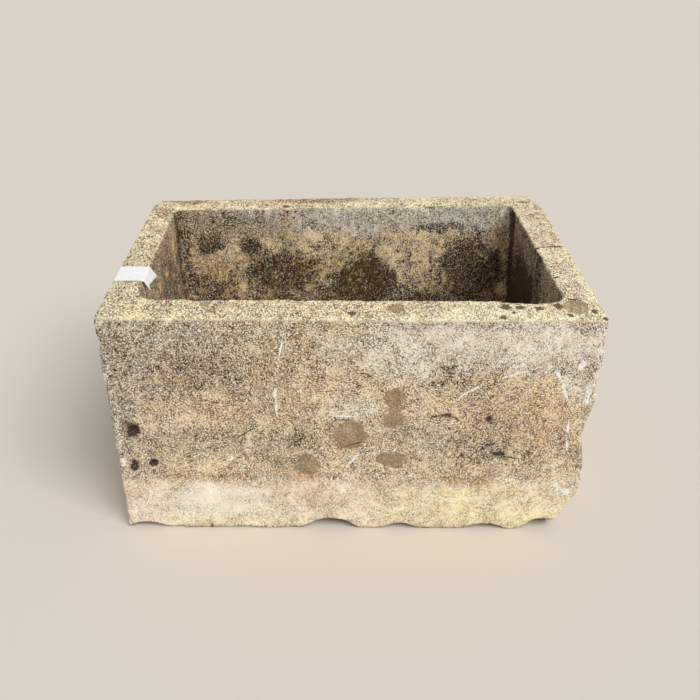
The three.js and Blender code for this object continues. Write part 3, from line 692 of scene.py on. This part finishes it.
# How strongly each noise crowds the grain, and what calm, rust, and soot with its painted shade add
# to it or take from it.
CROWDING = {"grit": 1.10, "grain": 0.32, "cluster": 0.85, "mottle": 0.60}
CALM_LIFT = 0.35
SOOT_AND_SHADE_DROP = -0.38
RUST_DROP = -0.20
CRUMB_EDGE = (0.61, 0.74)
CRUMB_COVER = 0.92
# The grit is livelier in the darker patches, where this mix of noises runs low.
PATCHY = {"cluster": 0.5, "mottle": 0.5}
LIVELY_EDGE = (0.60, 0.40, 0.75, 1.45)
# The dark dots: the share of places that has one as the patches grow paler, their soft edge, and how
# calm dims them.
DOT_SHARES = (0.40, 0.56, 0.45, 0.04)
DOT_EDGE = (0.28, 0.20)
DOT_CALM = (0.5, 0.0, 0.4, 1.0)
# A worn arris: how far it stands proud, and where the noise leaves it worn. A pit, darkened with
# dust and painted shade: how deep it lies.
WORN_EDGE = (0.0008, 0.0024)
WORN_BREAKS = (0.55, 0.60)
WORN_COVER = 0.9
PIT_EDGE = (-0.0004, -0.0014)
PIT_COVER = 0.5
# The marks: where each starts and is full, counted in its own half sizes, and how much it covers. The
# breaks, the dark, the light and the gleam follow noise.
PEBBLE_RING = (1.22, 1.10)
RING_BREAKS = (0.48, 0.56)
RING_COVER = 0.7
PEBBLE_FILL = (1.05, 0.95)
PEBBLE_COVER = 0.80
PEBBLE_DARK = (0.35, 0.0, 0.0, 0.8)
PEBBLE_LIGHT = (0.65, 1.0, 0.0, 0.4)
FLAKE_FILL = (1.08, 0.92)
FLAKE_COVER = 0.95
FLAKE_TEAR = 0.9
STROKE_FILL = (1.10, 0.80)
STROKE_BREAKS = (0.34, 0.44)
STROKE_GRIT = 0.3
PORE_RING = (1.45, 1.05, 0.0, 0.5)
PORE_FILL = (1.00, 0.85)
PORE_GLEAM = (1.0, 0.7, 0.7, 1.0)
MARK_FRAY = {"grit": 0.16, "grain": 0.40}
# What each noise and the dots add to the height that the bump is made from.
LUMPS = {"grain": 0.15, "cluster": 0.7}
DOT_HEIGHT = -0.25
# The finish: dull, with hardly a gleam.
STONE_ROUGHNESS = 0.92
STONE_GLOSS = 0.25
BUMP_STRENGTH = 0.8


def blend(tree, share, below, above, how="MIX"):
    """One colour laid over another by a share."""
    below, above = [(*colour, 1.0) if isinstance(colour, tuple) else colour for colour in (below, above)]
    inputs = {"Factor": share, "A": below, "B": above}
    return node(tree, "ShaderNodeMix", inputs, "Result", data_type="RGBA", blend_type=how, clamp_factor=True)


def kept(tree, name, output="Fac"):
    """What was kept under a name at each point of the skin."""
    return node(tree, "ShaderNodeAttribute", None, output, attribute_name=name, attribute_type="GEOMETRY")


def tint(tree, value, stops):
    """The colour that a number stands for on a scale of tints."""
    colour = node(tree, "ShaderNodeValToRGB", {"Fac": value})
    scale = colour.node.color_ramp
    while len(scale.elements) < len(stops):
        scale.elements.new(1.0)
    for element, (at, shade) in zip(scale.elements, stops):
        element.position = at
        element.color = (*shade, 1.0)
    return colour


def lean(tree, noise, share):
    """How far a noise stands off its middle, times a share."""
    return product(tree, calc(tree, "SUBTRACT", noise, 0.5), share)


def leans(tree, noises, shares):
    """How far each of several noises stands off its middle, times its share."""
    return [lean(tree, noises[name], share) for name, share in shares.items()]


def mixed(tree, noises, shares):
    """Several noises added up by their shares."""
    return total(tree, *[product(tree, noises[name], share) for name, share in shares.items()])


def layer(tree, name, noise, spread, start, end):
    """Where a layer lies: its painted strength broken up by noise into ragged patches."""
    painted = kept(tree, name)
    broken = ramp(tree, total(tree, painted, lean(tree, noise, spread)), start, end)
    return product(tree, broken, ramp(tree, painted, *LAYER_FLOOR))


def warped(tree, place, size, reach):
    """The place pushed about by noise, so that what is drawn there has a ragged edge."""
    push = node(tree, "ShaderNodeTexNoise", {"Vector": place, "Scale": 1.0 / size, "Detail": 2.0}, "Color")
    parts = node(tree, "ShaderNodeSeparateColor", {0: push}).node.outputs
    shifts = [lean(tree, part, reach) for part in list(parts)[:3]]
    push = node(tree, "ShaderNodeCombineXYZ", dict(enumerate(shifts)))
    return node(tree, "ShaderNodeVectorMath", {0: place, 1: push}, operation="ADD")


def paint_ground(tree, place, noises):
    """The stone's own tones, its beds and drips, and the layers that lie on it."""
    drift = cloud(tree, place, *DRIFT_NOISE)
    beds = cloud(tree, stretch(tree, place, BED_SHARE, 1.0), *BED_NOISE)
    drips = cloud(tree, stretch(tree, place, 1.0, DRIP_SHARE), *DRIP_NOISE)
    crumbly, caked = mixed(tree, noises, CRUMBLY), mixed(tree, noises, CAKED)
    colour = kept(tree, "tone", "Color")
    colour = blend(tree, 1.0, colour, tint(tree, drift, DRIFT_TINTS), "MULTIPLY")
    colour = blend(tree, 1.0, colour, tint(tree, noises["mottle"], MOTTLE_TINTS), "MULTIPLY")
    colour = blend(tree, kept(tree, "face"), colour, tint(tree, beds, BED_TINTS), "MULTIPLY")
    colour = blend(tree, kept(tree, "streaked"), colour, tint(tree, drips, DRIP_TINTS), "MULTIPLY")
    rust = layer(tree, "rust", crumbly, *CRUMBLY_EDGE)
    colour = blend(tree, product(tree, rust, RUST_COVER), colour, RUST)
    halo = layer(tree, "soot_and_shade", caked, *HALO_EDGE)
    colour = blend(tree, product(tree, halo, HALO_COVER), colour, STAIN_BROWN)
    soot_and_shade = layer(tree, "soot_and_shade", caked, *SOOT_AND_SHADE_EDGE)
    colour = blend(tree, product(tree, soot_and_shade, SOOT_AND_SHADE_COVER), colour, SOOT_AND_SHADE)
    return blend(tree, layer(tree, "bloom", crumbly, *CRUMBLY_EDGE), colour, BLOOM)


def paint_grain(tree, place, noises, colour):
    """Dark pores and cream grains crowded on the ground, a worn arris, pits dusty and painted in shade."""
    rim, inside, calm = kept(tree, "rim"), kept(tree, "inside"), kept(tree, "calm")
    patchy = mixed(tree, noises, PATCHY)
    lively = ramp(tree, patchy, *LIVELY_EDGE)
    grit, *coarser = leans(tree, noises, CROWDING)
    crowd = total(tree, 0.5, product(tree, grit, lively), *coarser, product(tree, calm, CALM_LIFT))
    pored = blend(tree, rim, tint(tree, crowd, PORE_TINTS), tint(tree, crowd, RIM_TINTS))
    colour = blend(tree, calc(tree, "SUBTRACT", 1.0, calm), colour, pored, "MULTIPLY")
    cream = blend(tree, rim, blend(tree, inside, GRAIN_CREAM, HOLLOW_CREAM), RIM_CREAM)
    sooted_and_shaded = product(tree, kept(tree, "soot_and_shade"), SOOT_AND_SHADE_DROP)
    rusted = product(tree, kept(tree, "rust"), RUST_DROP)
    crumbs = ramp(tree, total(tree, crowd, sooted_and_shaded, rusted), *CRUMB_EDGE)
    colour = blend(tree, product(tree, crumbs, CRUMB_COVER), colour, cream)
    dots = scatter(tree, place, DOT, ramp(tree, patchy, *DOT_SHARES), *DOT_EDGE, DOT_SEED)
    colour = blend(tree, product(tree, dots, ramp(tree, calm, *DOT_CALM)), colour, DARK_DOT)
    worn = ramp(tree, kept(tree, "arris"), *WORN_EDGE)
    worn = product(tree, worn, ramp(tree, noises["cluster"], *WORN_BREAKS))
    colour = blend(tree, product(tree, worn, WORN_COVER), colour, LICHEN)
    # Pits are darkened, partly with dust and partly with painted shade.
    sunk = ramp(tree, kept(tree, "proud"), *PIT_EDGE)
    return blend(tree, product(tree, sunk, PIT_COVER), colour, PIT_DUST_AND_SHADE), dots


def paint_marks(tree, place, noises, colour):
    """The pebbles, pores, cracks, scratches, painted highlights and bruises, each edged as raggedly as the
    grain.
    """
    wobbly = warped(tree, place, CLUSTER, WARP)
    fretted = warped(tree, place, GRAIN, FRET)
    frayed = total(tree, *leans(tree, noises, MARK_FRAY))
    pebbles = total(tree, nearest(tree, wobbly, PEBBLES), frayed)
    pebble = blend(tree, ramp(tree, noises["grit"], *PEBBLE_DARK), PEBBLE, PEBBLE_EDGE)
    pebble = blend(tree, ramp(tree, noises["grit"], *PEBBLE_LIGHT), pebble, GRAIN_CREAM)
    ring = product(tree, ramp(tree, pebbles, *PEBBLE_RING), ramp(tree, noises["mottle"], *RING_BREAKS))
    colour = blend(tree, product(tree, ring, RING_COVER), colour, PEBBLE_EDGE)
    colour = blend(tree, product(tree, ramp(tree, pebbles, *PEBBLE_FILL), PEBBLE_COVER), colour, pebble)
    torn = lean(tree, noises["cluster"], FLAKE_TEAR)
    flakes = total(tree, nearest(tree, wobbly, FLAKES), frayed, frayed, torn)
    colour = blend(tree, product(tree, ramp(tree, flakes, *FLAKE_FILL), FLAKE_COVER), colour, FLAKE)
    broken = total(tree, noises["cluster"], lean(tree, noises["grit"], STROKE_GRIT))
    broken = ramp(tree, broken, *STROKE_BREAKS)
    pale = total(tree, nearest(tree, fretted, PALE_MARKS), frayed)
    colour = blend(tree, product(tree, ramp(tree, pale, *STROKE_FILL), broken), colour, CHALK)
    colour = blend(tree, ramp(tree, nearest(tree, fretted, DARK_LINES), *STROKE_FILL), colour, DARK_DOT)
    pores = total(tree, nearest(tree, wobbly, PORES), frayed)
    colour = blend(tree, ramp(tree, pores, *PORE_RING), colour, PORE_HALO)
    dark = product(tree, ramp(tree, pores, *PORE_FILL), ramp(tree, noises["grit"], *PORE_GLEAM))
    return blend(tree, dark, colour, PORE)


def paint_limestone(material):
    """The limestone's shader: ground, grain and marks, with the grain standing proud in its bump."""
    tree = material.node_tree
    surface = tree.nodes["Principled BSDF"]
    place = node(tree, "ShaderNodeTexCoord", None, "Object")
    rim_share = ramp(tree, kept(tree, "rim"), 0.0, 1.0, 1.0, GRIT_RIM_SHARE)
    shares = node(tree, "ShaderNodeCombineXYZ", {"X": 1.0, "Y": rim_share, "Z": 1.0})
    longer = node(tree, "ShaderNodeVectorMath", {0: place, 1: shares}, operation="MULTIPLY")
    grit = node(tree, "ShaderNodeTexVoronoi", {"Vector": longer, "Scale": 1.0 / GRIT}, "Color")
    noises = {
        "grit": node(tree, "ShaderNodeSeparateColor", {0: grit}, "Green"),
        "grain": cloud(tree, place, *GRAIN_NOISE),
        "cluster": cloud(tree, place, *CLUSTER_NOISE),
        "mottle": cloud(tree, place, *MOTTLE_NOISE),
    }
    colour, dots = paint_grain(tree, place, noises, paint_ground(tree, place, noises))
    tree.links.new(paint_marks(tree, place, noises, colour), surface.inputs["Base Color"])
    surface.inputs["Roughness"].default_value = STONE_ROUGHNESS
    surface.inputs["Specular IOR Level"].default_value = STONE_GLOSS
    height = total(tree, mixed(tree, noises, LUMPS), product(tree, dots, DOT_HEIGHT))
    bump = {"Height": height, "Strength": BUMP_STRENGTH, "Distance": BUMP_HEIGHT}
    tree.links.new(node(tree, "ShaderNodeBump", bump, "Normal"), surface.inputs["Normal"])


stone = bpy.data.materials.new("weathered_limestone")
stone.use_nodes = True
block = worked_stone(stone)
stain(block.data)
paint_limestone(stone)
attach(block, "root")
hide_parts("trough_block")


# The tape label
# A strip of blank white cloth tape pressed across the left rim. Its inner end hangs down into the
# hollow, torn off with a notch, and the cloth is creased where it follows the stone.
strip_low, strip_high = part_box("tape_label")
strip_size = strip_high - strip_low
STRIP_THICKNESS = 0.0004
STRIP_FLAP = 0.019
STRIP_BEND = math.radians(60)
BEND_RADIUS = 0.0025
STRIP_CLEARANCE = 0.0003
FLAT_STEPS = 40
BEND_STEPS = 8
FLAP_STEPS = 14
STRIP_ROWS = 60
TAUT_ROUNDS = 12
NOTCH = 0.0070
NOTCH_AT = 0.17
FRAY = 0.0006
FRAY_WIDTH = 0.0016
CREASE = 0.0009
CREASE_WIDTH = 0.012
WEAVE = 0.0011
DUST_NOISE = (CREASE_WIDTH, 4.0, 0.6, 9.0)
DUST_EDGE = (0.48, 0.70, 0.0, 0.6)
DUST_HEIGHT = 3.0
CLOTH_ROUGHNESS = 0.62
CLOTH_GLOSS = 0.3
WEAVE_STRENGTH = 0.35
STRIP_WHITE = (0.96, 0.96, 0.95)
STRIP_SHADE = (0.88, 0.86, 0.81)


def torn_flap(share):
    """How long the hanging end is at a share of the strip's width, from its front edge to its back."""
    short = share / NOTCH_AT if share < NOTCH_AT else (1 - share) / (1 - NOTCH_AT)
    frayed = noise.noise(Vector((share * strip_size.y / FRAY_WIDTH, 0.0, 0.0)))
    return STRIP_FLAP - NOTCH * short + FRAY * frayed


def draped(skin, xs, ys):
    """The stone's height under a grid of places, evened out as taut cloth bridges the pits."""
    heights = np.full((len(xs), len(ys)), high.z - SKIN_STEP)
    down = Vector((0, 0, -1))
    for i, x in enumerate(xs):
        for j, y in enumerate(ys):
            hit = skin.ray_cast(Vector((x, y, 2 * high.z)), down)[0]
            if hit and hit.z > high.z - 2 * SKIN_STEP:
                heights[i, j] = hit.z
    for _ in range(TAUT_ROUNDS):
        ringed = np.pad(heights, 1, mode="edge")
        around = (ringed[:-2, 1:-1] + ringed[2:, 1:-1] + ringed[1:-1, :-2] + ringed[1:-1, 2:]) / 4
        heights = np.maximum(heights, around)
    return heights + STRIP_CLEARANCE + STRIP_THICKNESS


def creased(x, y):
    """How far the cloth lifts off the stone in its creases."""
    return CREASE * abs(noise.noise(Vector((x, y, 0.0)) / CREASE_WIDTH))


def strip_mesh(skin):
    """The strip's top face: laid over the rim, bent round its inner edge, then hanging to the torn end."""
    reach_in = BEND_RADIUS * math.sin(STRIP_BEND) + STRIP_FLAP * math.cos(STRIP_BEND)
    bend_x = strip_high.x - reach_in
    xs = np.linspace(strip_low.x, bend_x, FLAT_STEPS)
    ys = np.linspace(strip_low.y, strip_high.y, STRIP_ROWS)
    heights = draped(skin, xs, ys)
    points = []
    for j, y in enumerate(ys):
        flap = torn_flap(j / (STRIP_ROWS - 1))
        points += [(x, y, heights[i, j] + creased(x, y)) for i, x in enumerate(xs)]
        edge_z = points[-1][2]
        for step in range(1, BEND_STEPS + 1):
            turned = STRIP_BEND * step / BEND_STEPS
            fall = BEND_RADIUS * (1 - math.cos(turned))
            points.append((bend_x + BEND_RADIUS * math.sin(turned), y, edge_z - fall))
        bend_end = points[-1]
        for step in range(1, FLAP_STEPS + 1):
            hanging = flap * step / FLAP_STEPS
            curl = creased(hanging, y) * step / FLAP_STEPS
            x = bend_end[0] + hanging * math.cos(STRIP_BEND) - curl
            points.append((x, y, bend_end[2] - hanging * math.sin(STRIP_BEND) - curl))
    around = FLAT_STEPS + BEND_STEPS + FLAP_STEPS
    faces = []
    for j in range(STRIP_ROWS - 1):
        for i in range(around - 1):
            corner = j * around + i
            faces.append((corner, corner + 1, corner + around + 1, corner + around))
    mesh = bpy.data.meshes.new("tape_strip")
    mesh.from_pydata(points, [], faces)
    return mesh


def paint_cloth(material):
    """White cloth tape: a fine plain weave, and a little dust in it that greys it in patches."""
    tree = material.node_tree
    surface = tree.nodes["Principled BSDF"]
    place = node(tree, "ShaderNodeTexCoord", None, "Object")
    x, y, _ = node(tree, "ShaderNodeSeparateXYZ", {0: place}).node.outputs
    threads = [calc(tree, "SINE", calc(tree, "MULTIPLY", side, math.tau / WEAVE)) for side in (x, y)]
    dust = cloud(tree, place, *DUST_NOISE)
    colour = blend(tree, ramp(tree, dust, *DUST_EDGE), STRIP_WHITE, STRIP_SHADE)
    tree.links.new(colour, surface.inputs["Base Color"])
    surface.inputs["Roughness"].default_value = CLOTH_ROUGHNESS
    surface.inputs["Specular IOR Level"].default_value = CLOTH_GLOSS
    height = total(tree, product(tree, *threads), product(tree, dust, DUST_HEIGHT))
    bump = {"Height": height, "Strength": WEAVE_STRENGTH, "Distance": STRIP_THICKNESS}
    tree.links.new(node(tree, "ShaderNodeBump", bump, "Normal"), surface.inputs["Normal"])


white_cloth = bpy.data.materials.new("white_cloth_tape")
white_cloth.use_nodes = True
paint_cloth(white_cloth)
skin_points = [point.co for point in block.data.vertices]
block_skin = BVHTree.FromPolygons(skin_points, [face.vertices for face in block.data.polygons])
strip = placed("tape_strip", strip_mesh(block_skin))
strip.data.materials.append(white_cloth)
cloth = strip.modifiers.new("cloth thickness", "SOLIDIFY")
cloth.thickness = STRIP_THICKNESS
cloth.offset = -1.0
thick = strip.evaluated_get(bpy.context.evaluated_depsgraph_get())
thick_mesh = bpy.data.meshes.new_from_object(thick)
strip.modifiers.clear()
strip.data = thick_mesh
strip.data.shade_smooth()
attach(strip, "root")
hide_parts("tape_label")


# The floor
# A plain pale studio floor, painted warm grey and large enough to fill the whole picture.
FLOOR_REACH = 14.0
FLOOR_CORNERS = [(-1, -1), (1, -1), (1, 1), (-1, 1)]
FLOOR_PAINT = (0.694, 0.638, 0.565)
floor_mesh = bpy.data.meshes.new("floor")
corners = [(across * FLOOR_REACH, away * FLOOR_REACH, 0) for across, away in FLOOR_CORNERS]
floor_mesh.from_pydata(corners, [], [(0, 1, 2, 3)])
floor = placed("floor", floor_mesh)
floor_paint = bpy.data.materials.new("floor_paint")
floor_paint.use_nodes = True
paint_surface = floor_paint.node_tree.nodes["Principled BSDF"]
paint_surface.inputs["Base Color"].default_value = (*FLOOR_PAINT, 1.0)
paint_surface.inputs["Roughness"].default_value = 1.0
floor.data.materials.append(floor_paint)


# The light
# One broad soft lamp high in front and to the right, and an even white room all round. Where a view
# looks past the floor, it sees a backdrop in the floor's paint.
ROOM_LIGHT = 0.45
LAMP_LIGHT = 0.72 * math.pi
LAMP_SPREAD = math.radians(35)
LAMP_SIDE = Vector((0.42, -0.50, 0.76))
room = bpy.data.worlds.new("studio")
room.use_nodes = True
room_tree = room.node_tree
walls = room_tree.nodes["Background"]
walls.inputs["Color"].default_value = (1, 1, 1, 1)
walls.inputs["Strength"].default_value = ROOM_LIGHT
rays = room_tree.nodes.new("ShaderNodeLightPath").outputs
seen = [rays["Is Camera Ray"], rays["Is Glossy Ray"], rays["Is Transmission Ray"]]
seen = chain(room_tree, "MAXIMUM", seen)
backdrop = node(room_tree, "ShaderNodeBackground", {"Color": (*FLOOR_PAINT, 1.0), "Strength": 1.0})
shown = node(room_tree, "ShaderNodeMixShader", {0: seen, 1: walls.outputs[0], 2: backdrop})
room_tree.links.new(shown, room_tree.nodes["World Output"].inputs["Surface"])
bpy.context.scene.world = room
softbox = placed("softbox", bpy.data.lights.new("softbox", "SUN"))
softbox.data.energy = LAMP_LIGHT
softbox.data.angle = LAMP_SPREAD
softbox.rotation_euler = LAMP_SIDE.to_track_quat("Z", "Y").to_euler()


# The camera
# It stands in front of the trough, a little left of its middle, and looks down into the hollow.
CAMERA_PLACE = (-0.017, -1.396, 1.039)
CAMERA_TILT = math.radians(59.5)
CAMERA_PAN = math.radians(-0.8)
FILM_WIDTH = 36.0
PICTURE_WIDTH = 700
FOCAL_PIXELS = 821
camera = placed("camera", bpy.data.cameras.new("camera"))
camera.location = CAMERA_PLACE
camera.rotation_euler = (CAMERA_TILT, 0.0, CAMERA_PAN)
camera.data.sensor_width = FILM_WIDTH
camera.data.lens = FILM_WIDTH * FOCAL_PIXELS / PICTURE_WIDTH
bpy.context.scene.camera = camera
bpy.context.scene.view_settings.view_transform = "Standard"

bpy.context.view_layer.update()
